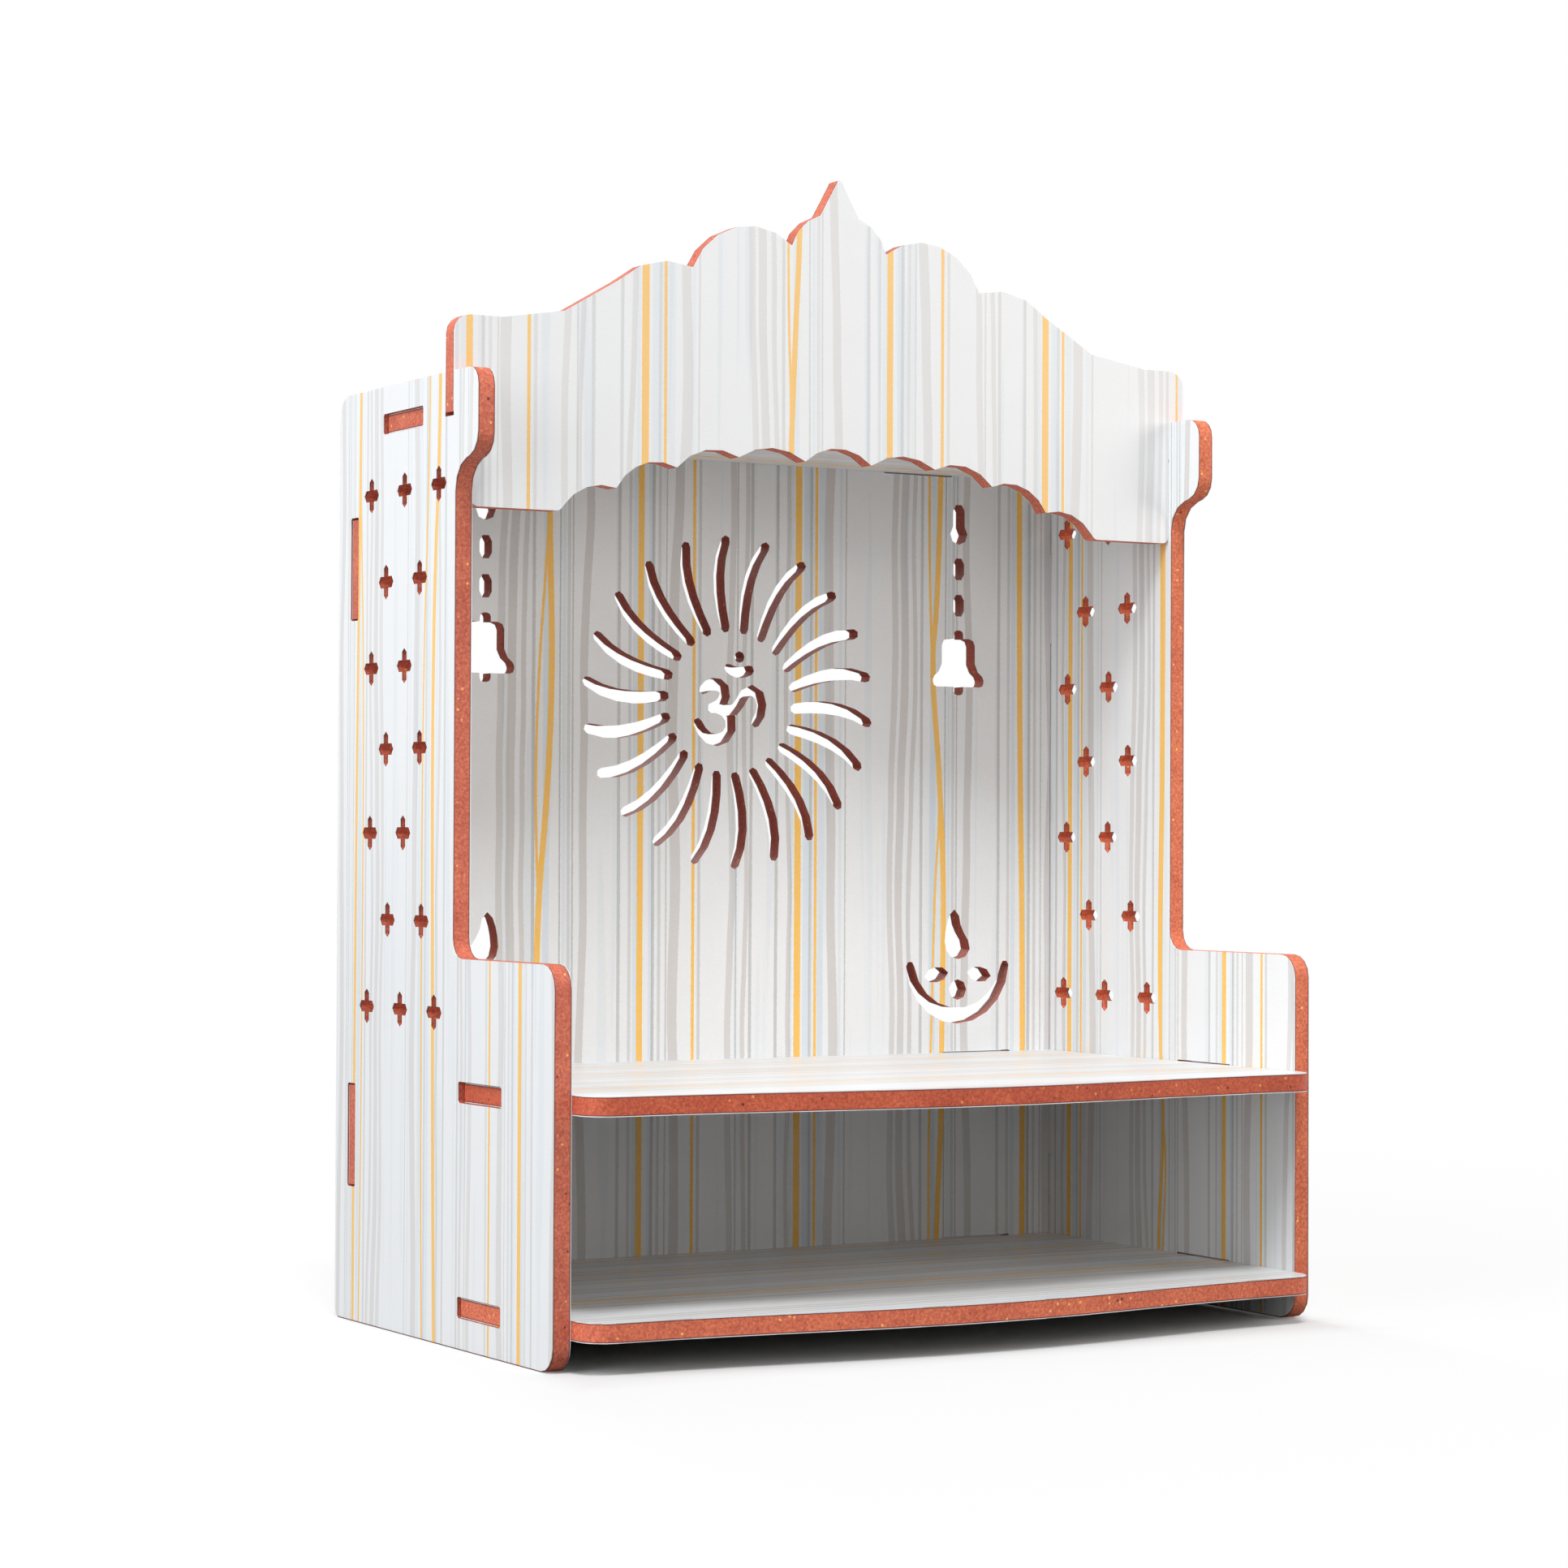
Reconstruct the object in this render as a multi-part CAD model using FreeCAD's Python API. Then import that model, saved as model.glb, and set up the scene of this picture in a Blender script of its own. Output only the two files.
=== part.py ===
import FreeCAD, Part
import math
import os

# A table-top household shrine made of seven flat boards that slot together.
# Two sides carry everything: a base and a shelf low down, a roof near the top,
# a pierced back behind them and a scalloped arch with a spire in front.
# Each board is a fibreboard core with a thin printed foil on both faces.
# Millimetres. X to the right, Y to the back, Z up. The origin is at the floor,
# in the middle of the whole outline, and the open front faces -Y.

# Board material
core_thickness = 6.0
foil_thickness = 0.25
board = core_thickness + 2 * foil_thickness

# Fit of the slotted joints: clearance on the faces, room past the ends of a tongue,
# cut-off corner of a slot, spare height of the level boards' slots, and the open seam
# between the back and the sides
fit = 0.1
mortise_play = 0.7
mortise_corner = 0.7
headroom = 0.4
back_seam = 0.4

# Turn of one straight run, in degrees: along scallops, lobes and bowls, round the corners
# of boards, round small holes and round the ends of slots
round_step = 18.0
corner_step = 22.5
hole_step = 45.0
small_step = 60.0

# Side boards
outer_width = 300.0
side_depth = 170.0
side_height = 325.0
cheek_height = 129.0
cheek_corner = 8.0
step_fillet = 7.0
wall_setback = 75.0
ear_setback = 57.8
ear_length = 28.0
ear_slope = 3.8
ear_hollow = 13.8
ear_heel = 7.8
ear_corner = 6.5
toe_corner = 8.0
heel_corner = 3.0
top_back_corner = 8.0
foil_floor_gap = 0.4
back_floor_gap = 1.0

# Heights and depths of the boards that the sides carry
base_top = 17.0
shelf_top = 88.0
roof_drop = 16.0
arch_setback = 76.3
back_inset = 10.2
front_overhang = 13.5
front_bow = 12.0
front_corner = 9.5
wave_runs = 14

# Tabs of the level boards and of the back
side_tab = 31.2
low_tab_setback = 53.6
roof_tab_step = 1.5
rear_tab = 30.2
low_rear_tab_inset = 34.1
roof_rear_tab_inset = 61.5
back_tab = 34.8
upper_back_tab_drop = 45.7
lower_back_tab_height = 65.0
shelf_tab_recess = 2.2
roof_tab_recess = 1.7
base_tab_recess = 1.2
back_tab_recess = 0.7
rear_tab_recess = 0.8

# Cross-shaped piercings of the sides
cross_span = 12.3
cross_arm = 4.0
cross_tip = 1.4
cross_front_margin = 12.7
cross_back_margin = 10.8
cross_shelf_margin = 22.5
cross_roof_margin = 21.0
# Each row from the top: number of crosses, share of the way down, step forward
cross_row_count = (3, 2, 2, 2, 2, 2, 3)
cross_row_shares = (0.0, 0.173, 0.339, 0.498, 0.661, 0.829, 1.0)
cross_row_steps = (0.0, 12.5, 0.5, 13.2, 0.2, 15.3, -1.5)

# Arch: heights are above its bottom edge, half widths from the middle
arch_hang = 45.0
arch_bottom_corner = 2.5
slot_depth = 15.0
arch_foot_gap = 1.4
shoulder_height = 64.1
shoulder_corner = 6.0
shoulder_level = 18.0
spire_height = 122.3
spire_tip_half = 1.0
spire_foot = (7.8, 109.2)
crown_middle = (14.8, 105.2)
crown_end = (19.4, 97.6)
lobe_peak = (37.0, 103.0)
lobe_end = (59.0, 86.8)
wing_peak = (73.5, 87.6)
wing_end = (88.0, 80.0)
sweep_middle = (105.5, 69.2)
scallop_cusps = ((13.6, 22.0), (40.4, 22.0), (65.0, 17.1), (88.5, 8.8))
scallop_peaks = ((27.0, 26.0), (50.0, 24.2), (73.9, 18.6), (95.5, 9.5))
middle_scallop_height = 27.3
last_scallop_end = (109.0, 1.6)
scallop_run_out = 112.0

# Pierced back: sun with a sacred sign, two hanging bells, two oil lamps
sun_drop = 89.1
ray_count = 22
ray_inner = 27.6
ray_outer = 60.0
ray_runs = 5
# Along a ray: share of its length, sideways bend, width
ray_bend = ((0.0, -2.2, 3.8), (0.33, -4.5, 4.6), (0.7, -4.8, 4.6), (1.0, -2.2, 3.8))
# The sign's strokes from the sun's middle: sideways, up, width
sign_strokes = (
    ((-11.4, 4.4, 3.6), (-8.6, 6.2, 4.6), (-5.2, 6.5, 4.8), (-2.4, 4.4, 4.6),
     (-2.8, 1.0, 4.6), (-5.0, -1.6, 4.8), (-7.4, -2.2, 4.5)),
    ((-5.6, -1.9, 4.6), (-1.6, -3.6, 4.8), (0.5, -7.6, 4.6), (-1.0, -12.0, 4.6),
     (-5.6, -14.1, 4.6), (-9.8, -12.9, 4.4), (-12.4, -10.1, 4.0), (-13.7, -7.8, 3.7)),
    ((-2.0, -2.6, 4.6), (2.4, -2.4, 4.4), (5.0, 1.4, 4.2), (8.2, 4.6, 4.2),
     (11.6, 3.8, 4.4), (13.4, 0.2, 4.2), (13.0, -4.0, 4.1), (10.9, -7.3, 3.9)))
sign_crescent = ((-0.9, 12.7, 3.4), (3.5, 11.2, 4.1), (8.3, 12.1, 3.8))
# The dot over the sign: sideways, up, radius
sign_dot = (3.9, 16.9, 2.2)
stroke_runs = 8
bell_inset = 42.9
chain_drop = 10.6
link_width = 5.4
link_ring = 8.0
link_length = 15.7
bead_width = 5.0
bead_length = 9.0
bead_drops = (20.6, 34.6)
bell_stem_drop = 59.2
bell_stem_width = 4.4
bell_top_drop = 62.4
bell_height = 18.5
bell_half = 7.6
bell_rim_half = 11.6
bell_crown_corner = 3.0
bell_flare = 8.0
bell_rim_corner = 1.8
clapper_drop = 84.1
clapper_width = 4.5
lamp_inset = 42.7
lamp_height = 11.0
bowl_half = 23.4
bowl_rise = 22.2
bowl_floor = 6.0
bowl_tip = 3.7
seed_spread = 9.75
seed_height = 18.8
seed_length = 11.1
seed_width = 5.8
seed_tilt = 8.0
pearl_height = 13.0
pearl_radius = 4.0
seed_runs = 8
flame_runs = 14
# The right-hand flame, from its tip: sideways from the middle, height over the bowl's foot
flame_points = ((-1.6, 43.8), (0.5, 41.6), (1.3, 37.8), (3.2, 34.2), (5.3, 30.6), (5.2, 27.2),
                (1.6, 24.9), (-3.0, 25.5), (-5.6, 28.8), (-5.9, 33.4), (-5.0, 38.4), (-3.6, 42.2))

# Worked out from the sizes above
half_width = outer_width / 2
inner_half = half_width - board
level_half = inner_half - fit
back_setback = side_depth - back_inset - board
roof_tab_setback = (arch_setback + board + back_setback) / 2 - roof_tab_step
roof_under = side_height - roof_drop
roof_slot_floor = roof_under - fit - headroom
arch_bottom = side_height - arch_hang
sun_height = roof_under - sun_drop
front_reach = front_overhang + front_bow
front_edge_y = (front_reach - side_depth) / 2


def vector(u, v):
    return FreeCAD.Vector(u, v, 0)


def arc(start, middle, end, step=round_step):
    """Points along the arc through three points."""
    edge = Part.Arc(start, middle, end).toShape()
    turn = math.degrees(edge.LastParameter - edge.FirstParameter)
    runs = max(1, round(turn / step))
    return edge.discretize(Number=runs + 1)


def around(u, v, radius, start, sweep, step):
    """Points along part of a circle, with its angles in degrees."""
    runs = max(1, round(abs(sweep) / step))
    angles = [math.radians(start + sweep * i / runs) for i in range(runs + 1)]
    return [vector(u + radius * math.cos(a), v + radius * math.sin(a)) for a in angles]


def closed(points):
    """A closed wire of straight runs, without points that repeat."""
    kept = [point for i, point in enumerate(points) if point.distanceToPoint(points[i - 1]) > 1e-4]
    return Part.makePolygon(kept + kept[:1])


def rounded(corners, step=corner_step):
    """A closed outline. Each corner is (u, v, radius)."""
    points = [vector(u, v) for u, v, radius in corners]
    outline = []
    for i, (u, v, radius) in enumerate(corners):
        before = points[i - 1] - points[i]
        after = points[(i + 1) % len(points)] - points[i]
        half_turn = before.getAngle(after) / 2
        room = 0.49 * min(before.Length, after.Length)
        cut = min(radius / math.tan(half_turn), room)
        if cut > 1e-6:
            start = points[i] + before.normalize() * cut
            end = points[i] + after.normalize() * cut
            inward = (before + after).normalize()
            depth = cut * math.tan(half_turn) * (1 / math.sin(half_turn) - 1)
            outline += arc(start, points[i] + inward * depth, end, step)
        else:
            outline.append(points[i])
    return closed(outline)


def slot(u, v, width, height):
    """A hole about its middle, with its corners cut off."""
    w = width / 2
    h = height / 2
    cut = mortise_corner
    right = [vector(u + w - cut, v - h), vector(u + w, v - h + cut),
             vector(u + w, v + h - cut), vector(u + w - cut, v + h)]
    left = [vector(2 * u - point.x, point.y) for point in reversed(right)]
    return closed(right + left)


def tongue_slot(u, floor, tongue):
    """The slot for a level board's tongue, taller than the board by the headroom."""
    height = board + 2 * fit + headroom
    return slot(u, floor + height / 2, tongue + 2 * mortise_play, height)


def round_hole(u, v, radius):
    return closed(around(u, v, radius, 0, 360, hole_step)[:-1])


def upright_pill(u, top, width, length):
    """A round-ended slot that hangs down from its top."""
    r = width / 2
    return closed(around(u, top - r, r, 0, 180, small_step)
                  + around(u, top - length + r, r, 180, 180, small_step))


def swelling_slot(path, runs):
    """A round-ended slot along a curve. Each point is (u, v, width there)."""
    spine = Part.BSplineCurve()
    spine.interpolate([FreeCAD.Vector(u, v, width) for u, v, width in path])
    span = spine.LastParameter - spine.FirstParameter
    right = []
    left = []
    for i in range(runs + 1):
        parameter = spine.FirstParameter + span * i / runs
        spot = spine.value(parameter)
        along = spine.tangent(parameter)[0]
        heading = math.degrees(math.atan2(along.y, along.x))
        end = around(spot.x, spot.y, spot.z / 2, heading - 90, 180, small_step)
        right.append(end[0])
        left.append(end[-1])
        if i == 0:
            start = around(spot.x, spot.y, spot.z / 2, heading + 90, 180, small_step)
    return closed(start + right + end + left[::-1])


def face_with_holes(outline, holes):
    return Part.makeFace([outline] + holes, "Part::FaceMakerBullseye")


def fused_outline(wires):
    """One outline round slots that run into each other."""
    plugs = [Part.Face(wire).extrude(FreeCAD.Vector(0, 0, 1)) for wire in wires]
    whole = plugs[0].fuse(plugs[1:]).removeSplitter()
    floors = [face for face in whole.Faces if face.BoundBox.ZMax < 0.5]
    return [face.OuterWire for face in floors]


def write_board(name, low_side, high_side, core_face, foil_face, placement):
    """Core and two foils of one board, stacked along the face's normal."""
    foil_start = foil_thickness + core_thickness
    layers = (("%s_%s_foil" % (name, low_side), foil_face, 0, foil_thickness),
              ("%s_core" % name, core_face, foil_thickness, core_thickness),
              ("%s_%s_foil" % (name, high_side), foil_face, foil_start, foil_thickness))
    for node, face, start, thickness in layers:
        layer = face.copy()
        layer.translate(FreeCAD.Vector(0, 0, start))
        solid = layer.extrude(FreeCAD.Vector(0, 0, thickness))
        solid.Placement = placement.multiply(solid.Placement)
        solid.exportStep("parts/%s.step" % node)


def side_placement(x):
    """Outline (depth, height) stands up along Y and Z, thickness along +X."""
    turn = FreeCAD.Rotation(FreeCAD.Vector(1, 1, 1), 120)
    return FreeCAD.Placement(FreeCAD.Vector(x, front_edge_y, 0), turn)


def cross_placement(setback):
    """Outline (across, height) stands up, its thickness ends at the setback."""
    turn = FreeCAD.Rotation(FreeCAD.Vector(1, 0, 0), 90)
    return FreeCAD.Placement(FreeCAD.Vector(0, front_edge_y + setback + board, 0), turn)


def level_placement(height):
    """Outline (across, depth) lies flat, its thickness ends at the height."""
    return FreeCAD.Placement(FreeCAD.Vector(0, front_edge_y, height - board), FreeCAD.Rotation())


def cross_hole(u, v):
    """A plus sign whose arms end in blunt tips."""
    half = cross_arm / 2
    reach = cross_span / 2
    arm = ((half, -half), (reach - cross_tip, -half), (reach, 0), (reach - cross_tip, half))
    points = []
    for quarter in range(4):
        c = round(math.cos(math.pi / 2 * quarter))
        s = round(math.sin(math.pi / 2 * quarter))
        points += [vector(u + a * c - b * s, v + a * s + b * c) for a, b in arm]
    return closed(points)


def side_crosses():
    """Staggered rows between the roof and the shelf."""
    lowest = shelf_top + cross_shelf_margin
    highest = roof_under - cross_roof_margin
    pitch = (back_setback - wall_setback - cross_front_margin - cross_back_margin) / 2
    holes = []
    for count, share, step_forward in zip(cross_row_count, cross_row_shares, cross_row_steps):
        rearmost = back_setback - cross_back_margin - step_forward
        height = highest - share * (highest - lowest)
        holes += [cross_hole(rearmost - i * pitch, height) for i in range(count)]
    return holes


def side_face(bottom):
    arch_back = arch_setback + board + fit
    slot_floor = side_height - slot_depth
    ear_foot = side_height - ear_length
    outline = rounded([
        (0, bottom, toe_corner),
        (0, cheek_height, cheek_corner),
        (wall_setback, cheek_height, step_fillet),
        (wall_setback, ear_foot - ear_slope, ear_hollow),
        (ear_setback, ear_foot, ear_heel),
        (ear_setback, side_height, ear_corner),
        (arch_setback - fit, side_height, 0),
        (arch_setback - fit, slot_floor, 0),
        (arch_back, slot_floor, 0),
        (arch_back, side_height, 0),
        (side_depth, side_height, top_back_corner),
        (side_depth, bottom, heel_corner)])
    back_middle = back_setback + board / 2
    holes = [tongue_slot(low_tab_setback, top - board - fit, side_tab) for top in (base_top, shelf_top)]
    holes.append(tongue_slot(roof_tab_setback, roof_slot_floor, side_tab))
    for middle in (roof_under - upper_back_tab_drop, lower_back_tab_height):
        holes.append(slot(back_middle, middle, board + 2 * fit, back_tab + 2 * mortise_play))
    return face_with_holes(outline, holes + side_crosses())


def mirrored(corners):
    """A right-hand run of corners and its mirror image, one closed outline."""
    return corners + [(-u, v, radius) for u, v, radius in reversed(corners)]


def sun_rays():
    """Wavy slots set evenly round the middle of the sun."""
    rays = []
    for k in range(ray_count):
        angle = 2 * math.pi * k / ray_count
        path = []
        for share, sideways, width in ray_bend:
            out = ray_inner + share * (ray_outer - ray_inner)
            u = sideways * math.cos(angle) + out * math.sin(angle)
            v = out * math.cos(angle) - sideways * math.sin(angle)
            path.append((u, sun_height + v, width))
        rays.append(swelling_slot(path, ray_runs))
    return rays


def sacred_sign():
    """The three strokes run together, the crescent and the dot stand apart."""
    wires = [swelling_slot([(u, sun_height + v, width) for u, v, width in stroke], stroke_runs)
             for stroke in sign_strokes]
    crescent = [(u, sun_height + v, width) for u, v, width in sign_crescent]
    return fused_outline(wires) + [
        swelling_slot(crescent, ray_runs),
        round_hole(sign_dot[0], sun_height + sign_dot[1], sign_dot[2])]


def chain_link(u):
    """A slot that ends in a ring, like a keyhole upside down."""
    top = roof_under - chain_drop
    stem = link_width / 2
    ring = link_ring / 2
    meet = math.degrees(math.acos(stem / ring))
    return closed(around(u, top - stem, stem, 0, 180, small_step)
                  + around(u, top - link_length + ring, ring, 180 - meet, 180 + 2 * meet, hole_step))


def bell(u):
    """A bell with a stem over it and a clapper under it."""
    top = roof_under - bell_stem_drop
    crown = roof_under - bell_top_drop
    rim = crown - bell_height
    low = roof_under - clapper_drop
    stem = bell_stem_width / 2
    clapper = clapper_width / 2
    right = [
        (stem, top, stem), (stem, crown, 0),
        (bell_half, crown, bell_crown_corner),
        (bell_half, rim + bell_flare - 1, bell_flare / 2),
        (bell_rim_half, rim + 2 * bell_rim_corner, bell_rim_corner),
        (bell_rim_half, rim, bell_rim_corner),
        (clapper, rim, 0), (clapper, low, clapper)]
    return rounded([(u + a, v, r) for a, v, r in mirrored(right)], hole_step)


def hanging_bell(u):
    """Chain link, two beads and the bell."""
    beads = [upright_pill(u, roof_under - chain_drop - drop, bead_width, bead_length)
             for drop in bead_drops]
    return [chain_link(u), bell(u)] + beads


def oil_lamp(u, hand):
    """A crescent bowl with two seeds and a pearl, and a flame over it."""
    floor = shelf_top + lamp_height
    rim = floor + bowl_rise
    inner = bowl_half - bowl_tip
    middle = bowl_half - bowl_tip / 2
    tip = rim + bowl_tip / 2
    bowl = closed(
        arc(vector(u - bowl_half, rim), vector(u, floor), vector(u + bowl_half, rim))
        + arc(vector(u + bowl_half, rim), vector(u + middle, tip), vector(u + inner, rim), small_step)
        + arc(vector(u + inner, rim), vector(u, floor + bowl_floor), vector(u - inner, rim))
        + arc(vector(u - inner, rim), vector(u - middle, tip), vector(u - bowl_half, rim), small_step))
    seeds = []
    for side in (-1, 1):
        ellipse = Part.Ellipse(vector(0, 0), seed_length / 2, seed_width / 2).toShape()
        ellipse.rotate(vector(0, 0), FreeCAD.Vector(0, 0, 1), -side * seed_tilt)
        ellipse.translate(vector(u + side * seed_spread, floor + seed_height))
        seeds.append(closed(ellipse.discretize(Number=seed_runs + 1)[:-1]))
    pearl = round_hole(u, floor + pearl_height, pearl_radius)
    flame = Part.BSplineCurve()
    flame.interpolate(Points=[vector(u + hand * a, floor + b) for a, b in flame_points], PeriodicFlag=True)
    flame_wire = closed(flame.toShape().discretize(Number=flame_runs + 1)[:-1])
    return [bowl, pearl, flame_wire] + seeds


def back_face():
    upper = roof_under - upper_back_tab_drop
    lower = lower_back_tab_height
    tab_end = half_width - back_tab_recess
    edge = inner_half - back_seam
    run = back_tab / 2
    outline = rounded(mirrored([
        (edge, back_floor_gap, 0),
        (edge, lower - run, 0), (tab_end, lower - run, 0),
        (tab_end, lower + run, 0), (edge, lower + run, 0),
        (edge, upper - run, 0), (tab_end, upper - run, 0),
        (tab_end, upper + run, 0), (edge, upper + run, 0),
        (edge, side_height, 0)]))
    holes = []
    for hand in (-1, 1):
        for top in (base_top, shelf_top):
            holes.append(tongue_slot(hand * (inner_half - low_rear_tab_inset), top - board - fit, rear_tab))
        holes.append(tongue_slot(hand * (inner_half - roof_rear_tab_inset), roof_slot_floor, rear_tab))
        holes += hanging_bell(hand * (inner_half - bell_inset))
        holes += oil_lamp(hand * (inner_half - lamp_inset), hand)
    return face_with_holes(outline, holes + sun_rays() + sacred_sign())


def arch_half():
    """Right half of the arch, from the spire's tip round to the middle scallop."""

    def at(point):
        return vector(point[0], arch_bottom + point[1])

    end = half_width
    foot = side_height - slot_depth + arch_foot_gap - arch_bottom
    inner = level_half
    r = shoulder_corner
    soft = r * (1 - math.sqrt(0.5))
    low = arch_bottom_corner
    low_soft = low * (1 - math.sqrt(0.5))
    tip = spire_height - spire_tip_half
    tip_soft = spire_tip_half * math.sqrt(0.5)
    run_out_middle = ((scallop_run_out + last_scallop_end[0]) / 2 - last_scallop_end[1] / 4,
                      last_scallop_end[1] / 4)
    points = arc(at((0, spire_height)), at((tip_soft, tip + tip_soft)), at((spire_tip_half, tip)))
    points += arc(at(spire_foot), at(crown_middle), at(crown_end))
    points += arc(at(crown_end), at(lobe_peak), at(lobe_end))
    points += arc(at(lobe_end), at(wing_peak), at(wing_end))
    points += arc(at(wing_end), at(sweep_middle), at((end - shoulder_level, shoulder_height)))
    points += arc(at((end - r, shoulder_height)), at((end - soft, shoulder_height - soft)),
                  at((end, shoulder_height - r)), corner_step)
    points += [at((end, foot)), at((inner, foot))]
    points += arc(at((inner, low)), at((inner - low_soft, low_soft)), at((inner - low, 0)))
    points += arc(at((scallop_run_out, 0)), at(run_out_middle), at(last_scallop_end))
    ends = scallop_cusps + (last_scallop_end,)
    for start, peak, stop in reversed(list(zip(ends[:-1], scallop_peaks, ends[1:]))):
        points += arc(at(stop), at(peak), at(start))
    return points


def arch_face():
    right = arch_half()
    middle = vector(0, arch_bottom + middle_scallop_height)
    left = [vector(-point.x, point.y) for point in reversed(right)]
    return face_with_holes(closed(right + arc(right[-1], middle, left[0]) + left), [])


def level_edges(tab_setback, tab_recess, rear_tab_inset, front):
    """Right-hand corners of a level board, from its front to its rear tab."""
    tab_end = half_width - tab_recess
    run = side_tab / 2
    rear = back_setback - fit
    rear_end = back_setback + board - rear_tab_recess
    rear_tab_out = inner_half - rear_tab_inset + rear_tab / 2
    rear_tab_in = rear_tab_out - rear_tab
    return [
        (level_half, front),
        (level_half, tab_setback - run), (tab_end, tab_setback - run),
        (tab_end, tab_setback + run), (level_half, tab_setback + run),
        (level_half, rear),
        (rear_tab_out, rear), (rear_tab_out, rear_end),
        (rear_tab_in, rear_end), (rear_tab_in, rear)]


def roof_face():
    front = arch_setback + board + fit
    right = level_edges(roof_tab_setback, roof_tab_recess, roof_rear_tab_inset, front)
    return face_with_holes(rounded(mirrored([(u, v, 0) for u, v in right])), [])


def bowed_face(tab_recess):
    """Shelf or base: rounded front corners and a front that swells in a wave."""
    right = level_edges(low_tab_setback, tab_recess, low_rear_tab_inset, front_corner - front_overhang)
    left = [(-u, v) for u, v in reversed(right)]
    wave_half = level_half - front_corner
    soft = front_corner * (1 - math.sqrt(0.5))
    front = front_corner - front_overhang
    points = [vector(u, v) for u, v in right + left]
    points += arc(vector(-level_half, front), vector(soft - level_half, soft - front_overhang),
                  vector(-wave_half, -front_overhang), corner_step)
    for i in range(1, wave_runs):
        share = 2 * i / wave_runs - 1
        swell = front_bow * (0.5 + 0.5 * math.cos(math.pi * share))
        points.append(vector(share * wave_half, -front_overhang - swell))
    points += arc(vector(wave_half, -front_overhang), vector(level_half - soft, soft - front_overhang),
                  vector(level_half, front), corner_step)
    return face_with_holes(closed(points), [])


os.makedirs("parts", exist_ok=True)
side = side_face(0)
side_foil = side_face(foil_floor_gap)
write_board("left_side", "outer", "inner", side, side_foil, side_placement(-half_width))
write_board("right_side", "inner", "outer", side, side_foil, side_placement(inner_half))
boards = (
    ("back", "rear", "front", back_face(), cross_placement(back_setback)),
    ("arch", "rear", "front", arch_face(), cross_placement(arch_setback)),
    ("roof", "under", "top", roof_face(), level_placement(roof_under + board)),
    ("shelf", "under", "top", bowed_face(shelf_tab_recess), level_placement(shelf_top)),
    ("base", "under", "top", bowed_face(base_tab_recess), level_placement(base_top)))
for name, low_side, high_side, face, placement in boards:
    write_board(name, low_side, high_side, face, face, placement)
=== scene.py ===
import bpy
import math
from mathutils import Matrix, Vector


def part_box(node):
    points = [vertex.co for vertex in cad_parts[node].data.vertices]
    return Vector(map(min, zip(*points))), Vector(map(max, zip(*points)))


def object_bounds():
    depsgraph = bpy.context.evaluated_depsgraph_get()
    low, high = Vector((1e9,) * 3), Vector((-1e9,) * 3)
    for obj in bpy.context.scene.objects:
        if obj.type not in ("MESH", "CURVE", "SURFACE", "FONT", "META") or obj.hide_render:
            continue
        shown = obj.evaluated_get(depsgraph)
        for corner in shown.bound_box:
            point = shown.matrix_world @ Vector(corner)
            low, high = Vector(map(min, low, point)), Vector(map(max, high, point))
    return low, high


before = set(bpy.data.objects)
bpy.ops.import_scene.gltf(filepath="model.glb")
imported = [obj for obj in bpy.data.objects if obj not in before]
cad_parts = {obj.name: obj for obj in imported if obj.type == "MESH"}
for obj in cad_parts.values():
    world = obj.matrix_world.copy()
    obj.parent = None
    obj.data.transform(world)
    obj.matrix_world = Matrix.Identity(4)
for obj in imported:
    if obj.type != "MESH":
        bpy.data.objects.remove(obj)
cad_low, cad_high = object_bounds()

# The camera stands low, in front of the shrine and to its left, a little above the oil lamps.
# A long lens from 1.3 m away keeps the boards' edges nearly parallel.
camera_place = Vector((-0.69126, -1.14070, 0.16769))
yaw = math.radians(-30.32)
pitch = math.radians(-0.90)
roll = math.radians(0.26)
ahead = math.cos(pitch)
view_direction = Vector((-math.sin(yaw) * ahead, math.cos(yaw) * ahead, -math.sin(pitch)))
level_right = Vector((math.cos(yaw), math.sin(yaw), 0))
level_up = level_right.cross(view_direction)
camera_right = level_right * math.cos(roll) + level_up * math.sin(roll)
camera_up = level_up * math.cos(roll) - level_right * math.sin(roll)
turned = Matrix((camera_right, camera_up, -view_direction)).transposed()
lens = bpy.data.cameras.new("camera")
lens.sensor_width = 36
lens.lens = 87.03
lens.clip_end = 40
camera = bpy.data.objects.new("camera", lens)
bpy.context.scene.collection.objects.link(camera)
camera.matrix_world = Matrix.Translation(camera_place) @ turned.to_4x4()
bpy.context.scene.camera = camera
bpy.context.scene.view_settings.view_transform = "Standard"

# The studio is white all round. A large soft lamp on the left lights the shrine, with one high
# over the front, weak ones on either side of the camera, and two for the far sides.
fill_colour = (0.96, 0.975, 1.0, 1)
fill_strength = 0.02
backdrop_white = (1, 1, 1, 1)
shrine_middle = Vector((0, 0, 0.2))
cool_light = (0.97, 0.985, 1.0)
warm_light = (1.0, 0.95, 0.91)
warmer_light = (1.0, 0.93, 0.86)
white_light = (1, 1, 1)


def node(tree, kind, **settings):
    """A new shader node with its settings."""
    made = tree.nodes.new("ShaderNode" + kind)
    for name, value in settings.items():
        setattr(made, name, value)
    return made


def math_node(tree, operation, first, second=None, third=None, clamp=False):
    """Result of one step of arithmetic. Each value may be a socket or a plain number."""
    made = node(tree, "Math", operation=operation, use_clamp=clamp)
    for socket, value in zip(made.inputs, (first, second, third)):
        if value is None:
            continue
        if isinstance(value, (int, float)):
            socket.default_value = value
        else:
            tree.links.new(value, socket)
    return made.outputs[0]


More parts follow.
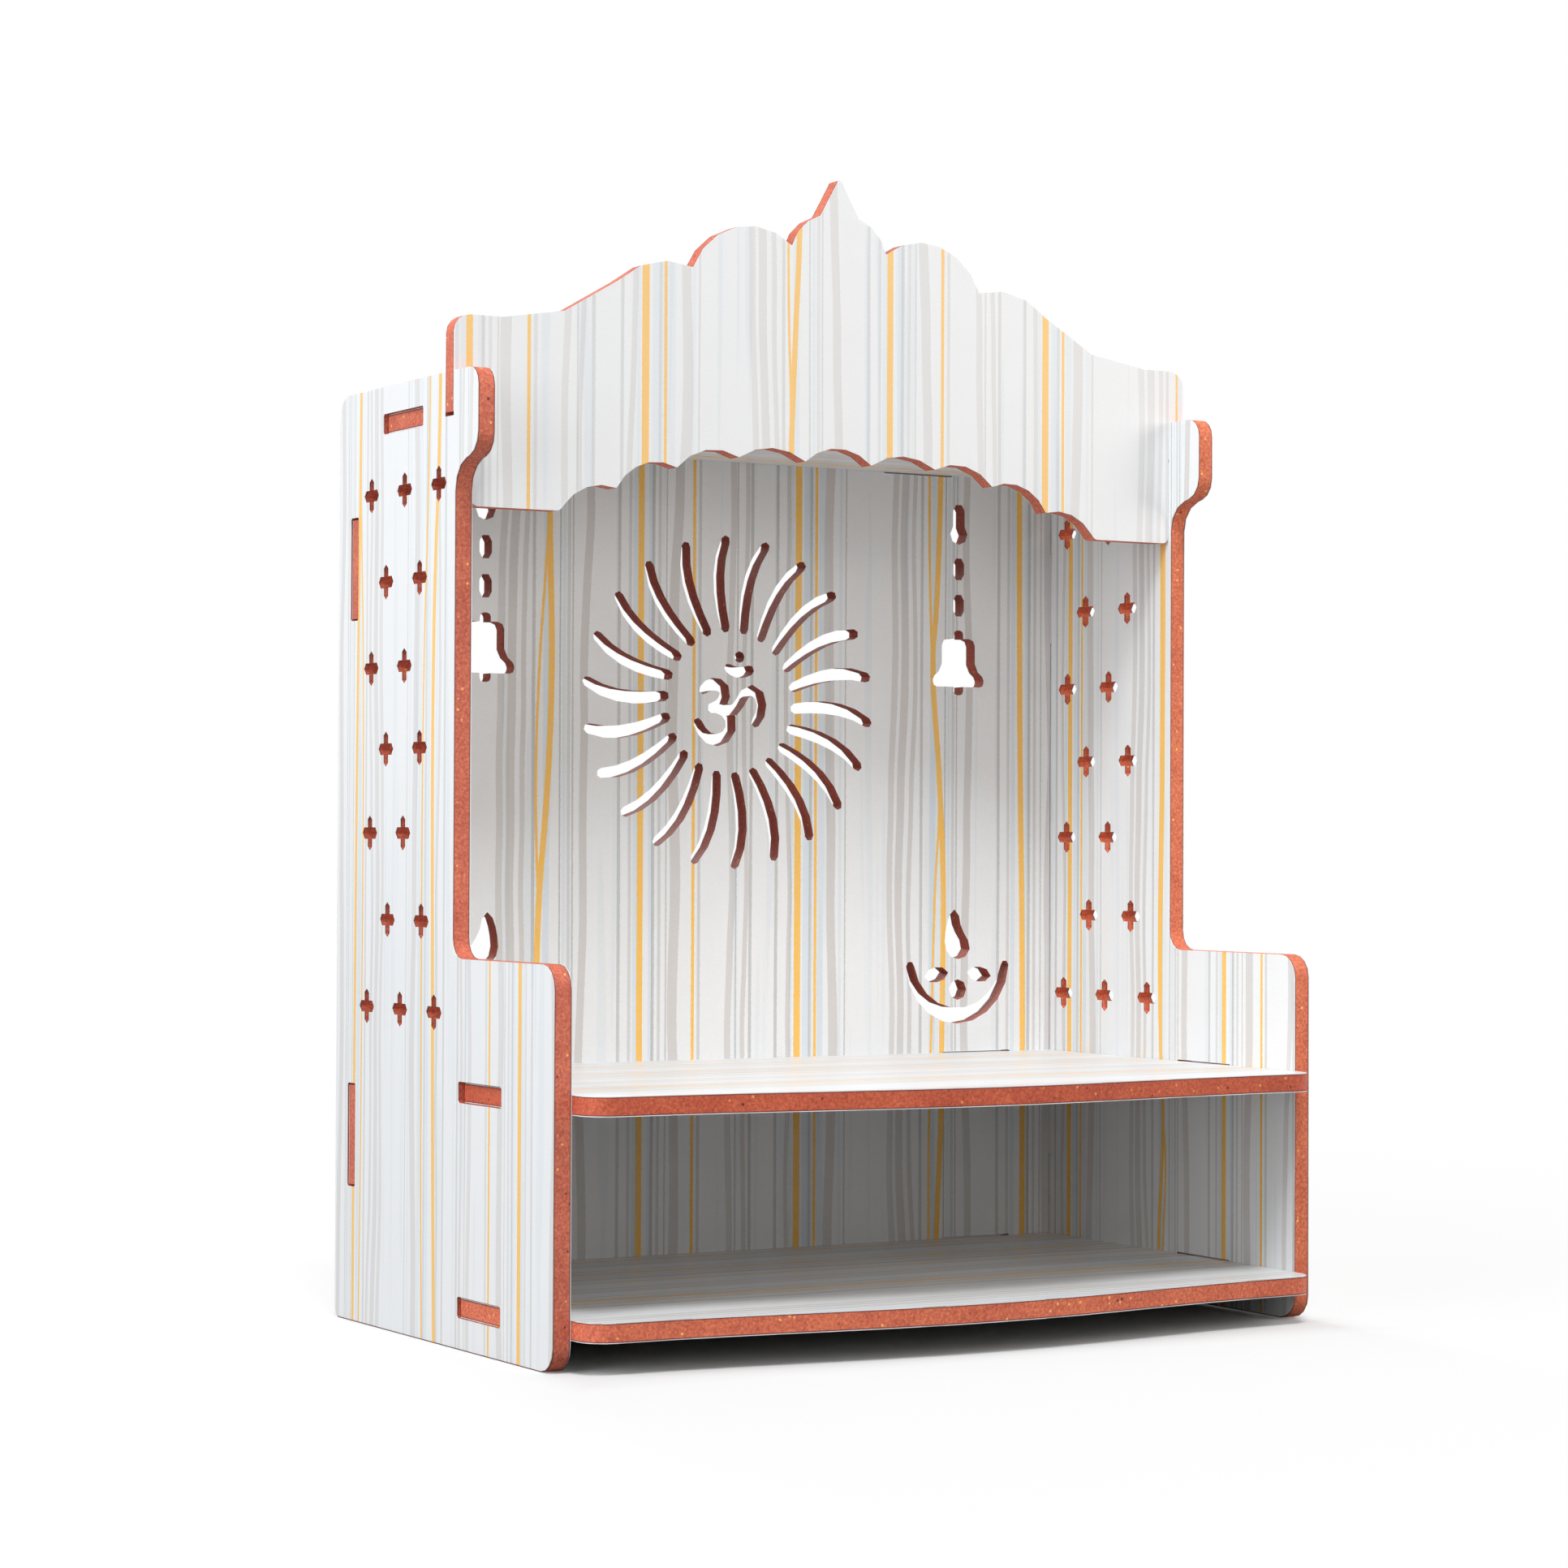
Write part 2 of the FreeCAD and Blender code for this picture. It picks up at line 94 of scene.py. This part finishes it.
def mixed_shader(tree, share, first, second):
    """The first shader where the share is 0, and the second where it is 1."""
    made = node(tree, "MixShader")
    for value, socket in zip((share, first.outputs[0], second.outputs[0]), made.inputs):
        tree.links.new(value, socket)
    return made.outputs[0]


def soft_lamp(name, place, size, power, colour):
    """A square lamp, in metres and watts, that faces the middle of the shrine."""
    data = bpy.data.lights.new(name, "AREA")
    data.shape = "SQUARE"
    data.size = size
    data.energy = power
    data.color = colour
    lamp = bpy.data.objects.new(name, data)
    bpy.context.scene.collection.objects.link(lamp)
    lamp.location = place
    lamp.rotation_euler = (shrine_middle - Vector(place)).to_track_quat("-Z", "Y").to_euler()


world = bpy.data.worlds.new("studio")
bpy.context.scene.world = world
world.use_nodes = True
tree = world.node_tree
fill = tree.nodes["Background"]
fill.inputs["Color"].default_value = fill_colour
fill.inputs["Strength"].default_value = fill_strength
backdrop = node(tree, "Background")
backdrop.inputs["Color"].default_value = backdrop_white
backdrop.inputs["Strength"].default_value = 1.0
rays = node(tree, "LightPath").outputs
seen = math_node(tree, "MAXIMUM", rays["Is Camera Ray"], rays["Is Transmission Ray"])
seen_or_mirrored = math_node(tree, "MAXIMUM", seen, rays["Is Glossy Ray"])
studio = mixed_shader(tree, seen_or_mirrored, fill, backdrop)
tree.links.new(studio, tree.nodes["World Output"].inputs["Surface"])

soft_lamp("left_lamp", (-1.53, -0.16, 0.88), 1.7, 29.5, cool_light)
soft_lamp("high_lamp", (-0.342, -0.940, 1.932), 0.5, 26, cool_light)
soft_lamp("front_lamp", (-0.500, -1.866, 0.718), 0.9, 5.7, warm_light)
soft_lamp("right_lamp", (0.74, -0.58, 0.52), 0.45, 2.5, warmer_light)
soft_lamp("right_side_lamp", (1.95, 0.10, 0.85), 1.5, 18, white_light)
soft_lamp("rear_lamp", (0.25, 1.90, 0.55), 0.5, 24, white_light)

# The floor is one wide sheet of matt white paper. In the open it shows white to the camera,
# and under and close to the shrine it is lit paper, which keeps the shadow.
half_width = cad_high[0]
half_depth = cad_high[1]
lit_to_camera = (0.76, 0.76, 0.76, 1)
lit_to_other_rays = (0.26, 0.26, 0.26, 1)


def new_material(name, specular):
    """A new material with its node tree, its shader, and the place of each point on the piece."""
    material = bpy.data.materials.new(name)
    material.use_nodes = True
    tree = material.node_tree
    shader = tree.nodes["Principled BSDF"]
    shader.inputs["Specular IOR Level"].default_value = specular
    return material, tree, shader, node(tree, "TexCoord").outputs["Object"]


def axes_of(tree, place):
    """How far a place lies along each axis, by the axis's name."""
    split = node(tree, "SeparateXYZ")
    tree.links.new(place, split.inputs[0])
    return split.outputs


def rising(tree, value, start, end, top):
    """Rises softly from 0 at the start to its top at the end."""
    made = node(tree, "MapRange", interpolation_type="SMOOTHSTEP")
    tree.links.new(value, made.inputs["Value"])
    made.inputs["From Min"].default_value = start
    made.inputs["From Max"].default_value = end
    made.inputs["To Max"].default_value = top
    return made.outputs["Result"]


def overlaid(tree, under, over, share=1.0, blend="MIX"):
    """A colour with another over it. All three may be sockets or plain values."""
    made = node(tree, "Mix", data_type="RGBA", blend_type=blend)
    # For colours, a Mix node has its share at socket 0 and the two colours at 6 and 7.
    for socket, value in ((made.inputs[0], share), (made.inputs[6], under), (made.inputs[7], over)):
        if isinstance(value, bpy.types.NodeSocket):
            tree.links.new(value, socket)
        else:
            socket.default_value = value
    return made.outputs[2]


bpy.ops.object.select_all(action="DESELECT")
bpy.ops.mesh.primitive_plane_add(size=12, location=(0, 0, 0))
floor = bpy.context.object
floor.name = "studio_floor"
paper, tree, matt, place = new_material("studio_paper", specular=0.2)
matt.inputs["Roughness"].default_value = 0.7
axes = axes_of(tree, place)
beside = math_node(tree, "SUBTRACT", math_node(tree, "ABSOLUTE", axes["X"]), half_width)
before = math_node(tree, "SUBTRACT", math_node(tree, "ABSOLUTE", axes["Y"]), half_depth)
outside = math_node(tree, "MAXIMUM", beside, before)
near = rising(tree, outside, start=-0.012, end=0.016, top=0.72)
far = rising(tree, outside, start=0.03, end=0.6, top=0.28)
to_camera = node(tree, "LightPath").outputs["Is Camera Ray"]
lit = overlaid(tree, lit_to_other_rays, lit_to_camera, to_camera)
tree.links.new(lit, matt.inputs["Base Color"])
white = node(tree, "Emission")
white.inputs["Strength"].default_value = 1.0
white_share = math_node(tree, "MULTIPLY", to_camera, math_node(tree, "ADD", near, far))
sheet = mixed_shader(tree, white_share, matt, white)
tree.links.new(sheet, tree.nodes["Material Output"].inputs["Surface"])
floor.data.materials.append(paper)

# The two side boards stand on the floor and carry everything else. Each is red-brown
# fibreboard, sawn to shape and pierced with crosses, under a printed foil on both faces.
# Every foil is cut from one roll, printed with fine stripes that repeat along its width.
repeat = 165.5
foil_white = (0.845, 0.855, 0.865, 1)
streak_grey = (0.935, 0.958, 0.975, 1)
plain_white = (1, 1, 1, 1)
gold_ink = (0.96, 0.54, 0.085, 1)
# Lines of each ink: place across the print in mm, width in mm, share of the light that it takes
grey_lines = (
    (11.8, 1.0, 0.21), (16.5, 1.8, 0.15), (26.3, 1.1, 0.23), (29.0, 1.4, 0.16), (31.6, 1.0, 0.21),
    (45.6, 1.1, 0.18), (61.5, 0.9, 0.23), (67.5, 0.9, 0.23), (78.4, 1.0, 0.23), (93.3, 1.1, 0.18),
    (108.6, 1.0, 0.22), (142.5, 0.9, 0.22), (153.3, 0.9, 0.26), (156.7, 1.5, 0.15), (158.5, 0.9, 0.23))
broad_lines = (
    (35.2, 3.8, 0.18), (57.8, 2.4, 0.16), (64.0, 2.2, 0.17), (83.2, 2.0, 0.18), (102.4, 4.3, 0.18),
    (129.4, 2.6, 0.16), (133.6, 3.4, 0.18), (138.5, 2.0, 0.17), (163.6, 3.2, 0.18))
blue_lines = (
    (18.7, 1.6, 0.10), (25.4, 2.2, 0.10), (84.9, 1.6, 0.10), (91.9, 2.8, 0.11), (97.8, 2.6, 0.09),
    (106.3, 1.4, 0.08), (147.8, 2.3, 0.10), (154.6, 1.4, 0.09))
# How much of that share falls on red, on green and on blue
grey_takes = (0.97, 1.0, 1.04)
broad_takes = (0.88, 1.02, 1.12)
blue_takes = (1.0, 0.6, 0.3)
# Gold lines: place across the print and width, in mm
gold_lines = ((21.2, 2.5), (43.4, 1.3), (88.0, 2.8), (95.8, 1.2))


def noise(tree, place, scale, detail, roughness=0.5, **settings):
    """Value of a noise texture, from 0 to 1."""
    made = node(tree, "TexNoise", **settings)
    tree.links.new(place, made.inputs["Vector"])
    made.inputs["Scale"].default_value = scale
    made.inputs["Detail"].default_value = detail
    made.inputs["Roughness"].default_value = roughness
    return made.outputs[0]


def around(tree, value, swing, middle=0.0, clamp=False):
    """Turns a value from 0 to 1 into a swing about a middle."""
    return math_node(tree, "MULTIPLY_ADD", value, swing, middle - swing / 2, clamp)


def drawn_out(tree, side, up, side_scale, up_scale, detail, shift=0):
    """Noise that is drawn out along the stripes."""
    joined = node(tree, "CombineXYZ")
    tree.links.new(math_node(tree, "MULTIPLY_ADD", side, side_scale, shift), joined.inputs[0])
    tree.links.new(math_node(tree, "MULTIPLY", up, up_scale), joined.inputs[1])
    return noise(tree, joined.outputs[0], scale=1.0, detail=detail, noise_dimensions="2D")


def wander(tree, side, up, side_scale, up_scale, reach, shift):
    """A slow drift of the print to either side, by its reach in mm, that follows the stripes."""
    drift = drawn_out(tree, side, up, side_scale, up_scale, detail=1.5, shift=shift)
    return around(tree, drift, swing=2 * reach)


def cells(tree, place, scale):
    """Cells scattered at random: the distance from the middle of each, and its random numbers."""
    made = node(tree, "TexVoronoi")
    tree.links.new(place, made.inputs["Vector"])
    made.inputs["Scale"].default_value = scale
    numbers = node(tree, "SeparateColor")
    tree.links.new(made.outputs["Color"], numbers.inputs[0])
    return made.outputs["Distance"], numbers.outputs


def some(tree, number, share):
    """Picks a share of the cells by one of their random numbers."""
    return math_node(tree, "GREATER_THAN", number, 1 - share)


def ramped(tree, value, *stops):
    """Colours that a value runs through, each with its place from 0 to 1."""
    ramp = node(tree, "ValToRGB")
    first, last = ramp.color_ramp.elements
    first.position, first.color = stops[0]
    last.position, last.color = stops[-1]
    for position, colour in stops[1:-1]:
        ramp.color_ramp.elements.new(position).color = colour
    tree.links.new(value, ramp.inputs[0])
    return ramp.outputs[0]


def striped(tree, place, lines, takes, strength):
    """One ink. Between its lines it is white, on a line it takes its share of the light."""
    ramp = node(tree, "ValToRGB")
    ramp.color_ramp.interpolation = "CONSTANT"
    stops = ramp.color_ramp.elements
    stops[0].color = plain_white
    stops.remove(stops[1])
    for middle, width, taken in lines:
        start = stops.new((middle - width / 2) / repeat)
        start.color = [1 - taken * strength * channel for channel in takes] + [1]
        stops.new((middle + width / 2) / repeat).color = plain_white
    tree.links.new(math_node(tree, "FRACT", math_node(tree, "DIVIDE", place, repeat)), ramp.inputs[0])
    return ramp.outputs[0]


def tinted(tree, under, tint):
    """A colour with a tint over it that takes some of its light."""
    return overlaid(tree, under, tint, blend="MULTIPLY")


def gold_line(tree, side, up, width, bends):
    """Mask of one gold line: straight at one place, or leaning through pairs of height and place."""
    # A curve holds values from 0 to 1, so a place becomes a share of a span wider than any board.
    span = 400
    if isinstance(bends, float):
        apart = math_node(tree, "SUBTRACT", side, bends)
    else:
        lowest = bends[0][0]
        tall = bends[-1][0] - lowest
        lean = node(tree, "FloatCurve")
        height_share = math_node(tree, "MULTIPLY_ADD", up, 1 / tall, -lowest / tall)
        tree.links.new(height_share, lean.inputs["Value"])
        points = lean.mapping.curves[0].points
        for point, (height, place) in zip(points, (bends[0], bends[-1])):
            point.location = ((height - lowest) / tall, place / span + 0.5)
        for height, place in bends[1:-1]:
            points.new((height - lowest) / tall, place / span + 0.5)
        lean.mapping.update()
        less_place = math_node(tree, "MULTIPLY_ADD", lean.outputs[0], -span, span / 2)
        apart = math_node(tree, "ADD", side, less_place)
    return math_node(tree, "LESS_THAN", math_node(tree, "ABSOLUTE", apart), width / 2)


def gold_from_roll(offset, direction, turn=0):
    """The roll's own gold lines where they fall on a board, as widths and places in mm."""
    return [(width, (place + turn * repeat - offset) * direction) for place, width in gold_lines]


def bumped(tree, shader, height, strength, depth):
    """Gives a surface its fine relief, with the depth in metres."""
    bump = node(tree, "Bump")
    bump.inputs["Strength"].default_value = strength
    bump.inputs["Distance"].default_value = depth
    tree.links.new(height, bump.inputs["Height"])
    tree.links.new(bump.outputs[0], shader.inputs["Normal"])


def inked(tree, side, up, ragged, strength):
    """White foil with faint streaks, and over them the blue, the grey and the warm grey ink."""
    drift = wander(tree, side, up, side_scale=0.012, up_scale=0.004, reach=0.6, shift=0)
    steady = math_node(tree, "ADD", math_node(tree, "ADD", side, ragged), drift)
    more_drift = wander(tree, side, up, side_scale=0.013, up_scale=0.008, reach=4.0, shift=9)
    loose = math_node(tree, "ADD", steady, more_drift)
    streaks = drawn_out(tree, steady, up, side_scale=0.17, up_scale=0.004, detail=2)
    streaked = ramped(tree, streaks, (0.33, streak_grey), (0.38, plain_white))
    colour = tinted(tree, foil_white, streaked)
    colour = tinted(tree, colour, striped(tree, steady, blue_lines, blue_takes, strength))
    colour = tinted(tree, colour, striped(tree, steady, grey_lines, grey_takes, strength))
    return tinted(tree, colour, striped(tree, loose, broad_lines, broad_takes, strength))


def gilded(tree, colour, side, up, grain, gold, strength):
    """Lays the gold lines over a print. They cover what is under them, grainy and thinner in
    places, and paler where the inks are drawn fainter, on lit boards, as painted light."""
    full_cover = min(1.0, 0.6 + 0.4 * strength)
    grainy_cover = around(tree, grain, swing=0.6, middle=0.93, clamp=True)
    cover = math_node(tree, "MULTIPLY", grainy_cover, full_cover)
    mask = gold_line(tree, side, up, *gold[0])
    for width, bends in gold[1:]:
        mask = math_node(tree, "MAXIMUM", mask, gold_line(tree, side, up, width, bends))
    return overlaid(tree, colour, gold_ink, math_node(tree, "MULTIPLY", mask, cover))


def dusty(tree, place, grain):
    """Printing grain, a faint cloudiness, and dark specks of dust under the foil, 0.9 mm across
    and in about one of five cells of 33 mm."""
    cloudy = around(tree, noise(tree, place, scale=70, detail=5), swing=0.03, middle=1.0)
    shade = math_node(tree, "ADD", cloudy, around(tree, grain, swing=0.09))
    distance, numbers = cells(tree, place, scale=30)
    speck_radius = 0.013
    speck_depth = 0.72
    specks = math_node(tree, "LESS_THAN", distance, speck_radius)
    specks = math_node(tree, "MULTIPLY", specks, some(tree, numbers[0], share=0.2))
    shade = math_node(tree, "MULTIPLY", shade, math_node(tree, "MULTIPLY_ADD", specks, -speck_depth, 1))
    grey = node(tree, "CombineColor")
    for channel in grey.inputs:
        tree.links.new(shade, channel)
    return grey.outputs[0]


def printed_foil(name, across, along, offset, direction, gold, strength=1.0):
    """Satin foil, printed with stripes that run along one axis and are counted across another.
    At the shrine's middle the print is at the offset in mm, and it runs on with the axis where
    the direction is 1, or against it where it is -1. Strength says how dark its inks are drawn:
    stronger on boards that stand in shade and fainter on lit ones, as painted shade."""
    material, tree, shader, place = new_material(name, specular=0.35)
    axes = axes_of(tree, place)
    # The print is measured in millimetres. Three whole repeats keep its places above zero.
    per_metre = 1000
    start = offset + 3 * repeat
    side = math_node(tree, "MULTIPLY_ADD", axes[across], per_metre * direction, start)
    up = math_node(tree, "MULTIPLY", axes[along], per_metre)
    grain = noise(tree, place, scale=1500, detail=3)
    ragged = around(tree, grain, swing=0.5)
    colour = inked(tree, side, up, ragged, strength)
    on_board = math_node(tree, "MULTIPLY_ADD", axes[across], per_metre, ragged)
    colour = gilded(tree, colour, on_board, up, grain, gold, strength)
    colour = tinted(tree, colour, dusty(tree, place, grain))
    tree.links.new(colour, shader.inputs["Base Color"])
    tree.links.new(around(tree, grain, swing=0.06, middle=0.32), shader.inputs["Roughness"])
    bumped(tree, shader, grain, strength=0.05, depth=0.0001)
    return material


dark_fibre = (0.38, 0.085, 0.055, 1)
red_fibre = (0.61, 0.150, 0.092, 1)
light_fibre = (0.80, 0.25, 0.14, 1)
torn_fibre = (0.95, 0.47, 0.17, 1)
black_fibre = (0.10, 0.03, 0.025, 1)
scorched = (0.15, 0.045, 0.045, 1)
painted_piercing_shade = (0.66, 0.56, 0.56, 1)


def pressed_fibre(tree, place, mottle):
    """Colour of fibreboard: finely mottled, in broad clouds, with bright torn fibres scattered
    through it and a few black ones."""
    clouds = around(tree, noise(tree, place, scale=55, detail=4), swing=0.3)
    tone = math_node(tree, "ADD", mottle, clouds)
    colour = ramped(tree, tone, (0.30, dark_fibre), (0.5, red_fibre), (0.70, light_fibre))
    distance, numbers = cells(tree, place, scale=620)
    # A fibre is solid at its cell's middle, and has faded out at 2.6 / 7 of a cell from there.
    solid = 2.6
    fade = 7
    body = math_node(tree, "MULTIPLY_ADD", distance, -fade, solid, clamp=True)
    torn = math_node(tree, "MULTIPLY", body, some(tree, numbers[0], share=0.045))
    black = math_node(tree, "MULTIPLY", body, some(tree, numbers[1], share=0.012))
    colour = overlaid(tree, colour, torn_fibre, torn)
    return overlaid(tree, colour, black_fibre, black)


def sawn_fibreboard(name, through, middle, tint_and_painted_light, pierced):
    """Cut edge of a board. Through is the axis of its thickness, middle its mid-plane in m, and
    batch how its redness differs, and on some boards how much lighter its edges are drawn as
    painted light. Where pierced isn't 0, every edge that is nearer than that to the shrine's
    middle, sideways and in m, is the wall of a narrow piercing, and is drawn darker as painted shade."""
    material, tree, shader, place = new_material(name, specular=0.3)
    axes = axes_of(tree, place)
    mottle = noise(tree, place, scale=1000, detail=5, roughness=0.7)
    colour = tinted(tree, pressed_fibre(tree, place, mottle), tint_and_painted_light)
    # The walls of those piercings are drawn darker as painted shade, and the cutter scorched every
    # arris next to a foil.
    if pierced:
        # Painted shade: edges near the middle, the walls of the piercings, are drawn darker.
        in_painted_piercing_shade = math_node(tree, "LESS_THAN", math_node(tree, "ABSOLUTE", axes["X"]), pierced)
        colour = overlaid(tree, colour, painted_piercing_shade, in_painted_piercing_shade, blend="MULTIPLY")
    depth = math_node(tree, "ABSOLUTE", math_node(tree, "SUBTRACT", axes[through], middle))
    scorch_start = 0.00255
    scorch_rise = 4200
    scorch_cover = 0.92
    skin = math_node(tree, "MULTIPLY_ADD", depth, scorch_rise, -scorch_rise * scorch_start, clamp=True)
    colour = overlaid(tree, colour, scorched, math_node(tree, "MULTIPLY", skin, scorch_cover))
    tree.links.new(colour, shader.inputs["Base Color"])
    tree.links.new(around(tree, mottle, swing=0.25, middle=0.625), shader.inputs["Roughness"])
    bumped(tree, shader, mottle, strength=0.45, depth=0.0003)
    return material


# Rounded edges of the boards are smooth, while edges that turn by more than 38 degrees are crisp.
same_corner = 1e-6
crisp_turn = math.radians(38)
rounds = bpy.data.node_groups.new("smooth_rounds", "GeometryNodeTree")
rounds.interface.new_socket("Geometry", in_out="INPUT", socket_type="NodeSocketGeometry")
rounds.interface.new_socket("Geometry", in_out="OUTPUT", socket_type="NodeSocketGeometry")
inlet = rounds.nodes.new("NodeGroupInput")
outlet = rounds.nodes.new("NodeGroupOutput")
merge = rounds.nodes.new("GeometryNodeMergeByDistance")
merge.inputs["Distance"].default_value = same_corner
smooth = rounds.nodes.new("GeometryNodeSetShadeSmooth")
angle = rounds.nodes.new("GeometryNodeInputMeshEdgeAngle")
steep = rounds.nodes.new("ShaderNodeMath")
steep.operation = "GREATER_THAN"
steep.inputs[1].default_value = crisp_turn
crisp = rounds.nodes.new("GeometryNodeSetShadeSmooth")
crisp.domain = "EDGE"
crisp.inputs["Shade Smooth"].default_value = False
rounds.links.new(inlet.outputs[0], merge.inputs["Geometry"])
rounds.links.new(merge.outputs["Geometry"], smooth.inputs["Geometry"])
rounds.links.new(smooth.outputs[0], crisp.inputs["Geometry"])
rounds.links.new(angle.outputs["Unsigned Angle"], steep.inputs[0])
rounds.links.new(steep.outputs[0], crisp.inputs["Selection"])
rounds.links.new(crisp.outputs[0], outlet.inputs[0])


def dress(board, foils, through, foil, tint_and_painted_light=(1, 1, 1, 1), pierced=0):
    """Gives one board its sawn core and its printed faces. Boards differ a little in redness, and the
    edges of the right side and the base are drawn lighter as painted light.
    """
    axis = "XYZ".index(through)
    low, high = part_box(board + "_core")
    edge = sawn_fibreboard(board + "_edge", through, (low[axis] + high[axis]) / 2, tint_and_painted_light, pierced)
    for name, material in [(board + "_core", edge)] + [(board + "_" + side, foil) for side in foils]:
        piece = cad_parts[name]
        piece.data.materials.clear()
        piece.data.materials.append(material)
        piece.modifiers.new("smooth_rounds", "NODES").node_group = rounds


# Painted shade: foils in shade, on the back, the base and the right side, have their inks drawn
# stronger, and those on the lit arch and left side fainter.
# Gold lines of the roll run straight on. Each of the others has its width in mm, then its place
# where it is straight too, or pairs of height and place in mm where it leans.
side_faces = ("outer_foil", "inner_foil")
left_start = 69.35
left_gold = gold_from_roll(left_start, 1)[:2] + [
    (1.2, ((0, 25.2), (8, 25.5), (105, 26.8), (236, 26.0), (261, 24.7), (286, 23.4), (340, 22.2))),
    (2.4, ((0, 15.5), (9, 15.8), (106, 17.8), (235, 18.6), (269, 17.1), (294, 15.4), (340, 14.0))),
    (1.1, ((0, 77.3), (100, 76.0), (238, 76.6), (268, 78.1), (291, 79.1), (340, 79.4))),
    (2.0, ((0, 82.3), (98, 82.0), (238, 80.7), (269, 80.1), (325, 79.4), (340, 79.3)))]
left_foil = printed_foil("left_side_print", "Y", "Z", left_start, 1, left_gold, strength=0.88)
dress("left_side", side_faces, "X", left_foil)

right_start = 155.75
right_gold = gold_from_roll(right_start, -1)[2:] + gold_from_roll(right_start, -1, 1)[:2] + [
    (1.1, ((0, 6.6), (19, 6.1), (51, 4.7), (72, 6.8), (125, 7.6), (200, 6.5), (340, 7.0))),
    (2.0, ((0, 9.0), (21, 8.8), (66, 6.3), (90, 7.9), (125, 8.9), (200, 8.0), (340, 8.6)))]
right_foil = printed_foil("right_side_print", "Y", "Z", right_start, -1, right_gold, strength=1.2)
# The right side's edges and the walls of its crosses are drawn about a fifth lighter, as painted light.
dress("right_side", side_faces, "X", right_foil, tint_and_painted_light=(1.20, 1.22, 1.02, 1))

# The back is one more board of printed fibreboard, and hangs between the sides by its tabs.
# The sun, the sacred sign, the hanging bells and the oil lamps are cut right through it.
back_start = 58.8
back_gold = gold_from_roll(back_start, 1) + gold_from_roll(back_start, 1, -1) + [
    (1.1, ((17, -79.0), (140, -79.0), (190, -80.2), (230, -79.0), (285, -75.5), (325, -75.0))),
    (2.4, ((17, -79.0), (140, -79.0), (190, -75.4), (230, -74.0), (285, -75.0), (325, -75.0))),
    (1.1, ((17, 88.0), (65, 88.1), (90, 88.7), (138, 89.9), (155, 90.5), (178, 92.0), (202, 91.2),
           (245, 88.3), (325, 87.3))),
    (2.4, ((17, 91.3), (40, 92.4), (65, 93.4), (90, 93.6), (135, 94.1), (155, 94.0), (194, 92.0),
           (239, 89.0), (258, 90.5), (325, 92.4))),
    (2.5, ((17, 130.8), (139, 130.3), (200, 129.2), (325, 128.4)))]
back_foil = printed_foil("back_print", "X", "Z", back_start, 1, back_gold, strength=1.35)
dress("back", ("front_foil", "rear_foil"), "Y", back_foil, pierced=0.140)

# Base, shelf and roof are boards of the same kind, and slide in between the sides, tongues
# through the slots of the sides and of the back. Their stripes run from side to side, so the
# pairs of their gold lines say how far right and how far back a point lies, in mm.
level_faces = ("top_foil", "under_foil")
base_start = 56.75
base_gold = gold_from_roll(base_start, -1) + [
    (1.1, ((-150, 73.5), (0, 71.5), (150, 70.0))),
    (2.2, ((-150, 71.5), (0, 71.8), (150, 73.0)))]
base_foil = printed_foil("base_print", "Y", "X", base_start, -1, base_gold, strength=1.3)
# The base's edges are drawn lighter, as painted light.
dress("base", level_faces, "Z", base_foil, tint_and_painted_light=(1.15, 1.12, 1.0, 1))

shelf_start = 40.25
shelf_gold = gold_from_roll(shelf_start, -1) + [
    (1.1, ((-150, 57.5), (0, 56.0), (150, 58.0))),
    (2.2, ((-150, 54.5), (0, 55.5), (150, 54.0)))]
shelf_foil = printed_foil("shelf_print", "Y", "X", shelf_start, -1, shelf_gold)
dress("shelf", level_faces, "Z", shelf_foil, tint_and_painted_light=(0.93, 0.74, 0.62, 1))

roof_start = 20.0
roof_foil = printed_foil("roof_print", "Y", "X", roof_start, 1, gold_from_roll(roof_start, 1))
dress("roof", level_faces, "Z", roof_foil)

# The arch is the last board of the same kind, and drops into open slots in the tops of the
# sides. Its lower edge is sawn into scallops, and a spire stands over the middle.
arch_start = 0.0
arch_gold = gold_from_roll(arch_start, 1) + gold_from_roll(arch_start, 1, -1) + [
    (1.0, ((280, -19.6), (305, -19.6), (324, -19.7), (351, -20.6), (376, -20.9), (410, -21.2))),
    (2.2, ((280, -19.6), (305, -19.4), (324, -18.8), (351, -17.7), (376, -16.6), (410, -16.0))),
    (1.0, 147.1)]
arch_foil = printed_foil("arch_print", "X", "Z", arch_start, 1, arch_gold, strength=0.7)
dress("arch", ("front_foil", "rear_foil"), "Y", arch_foil)
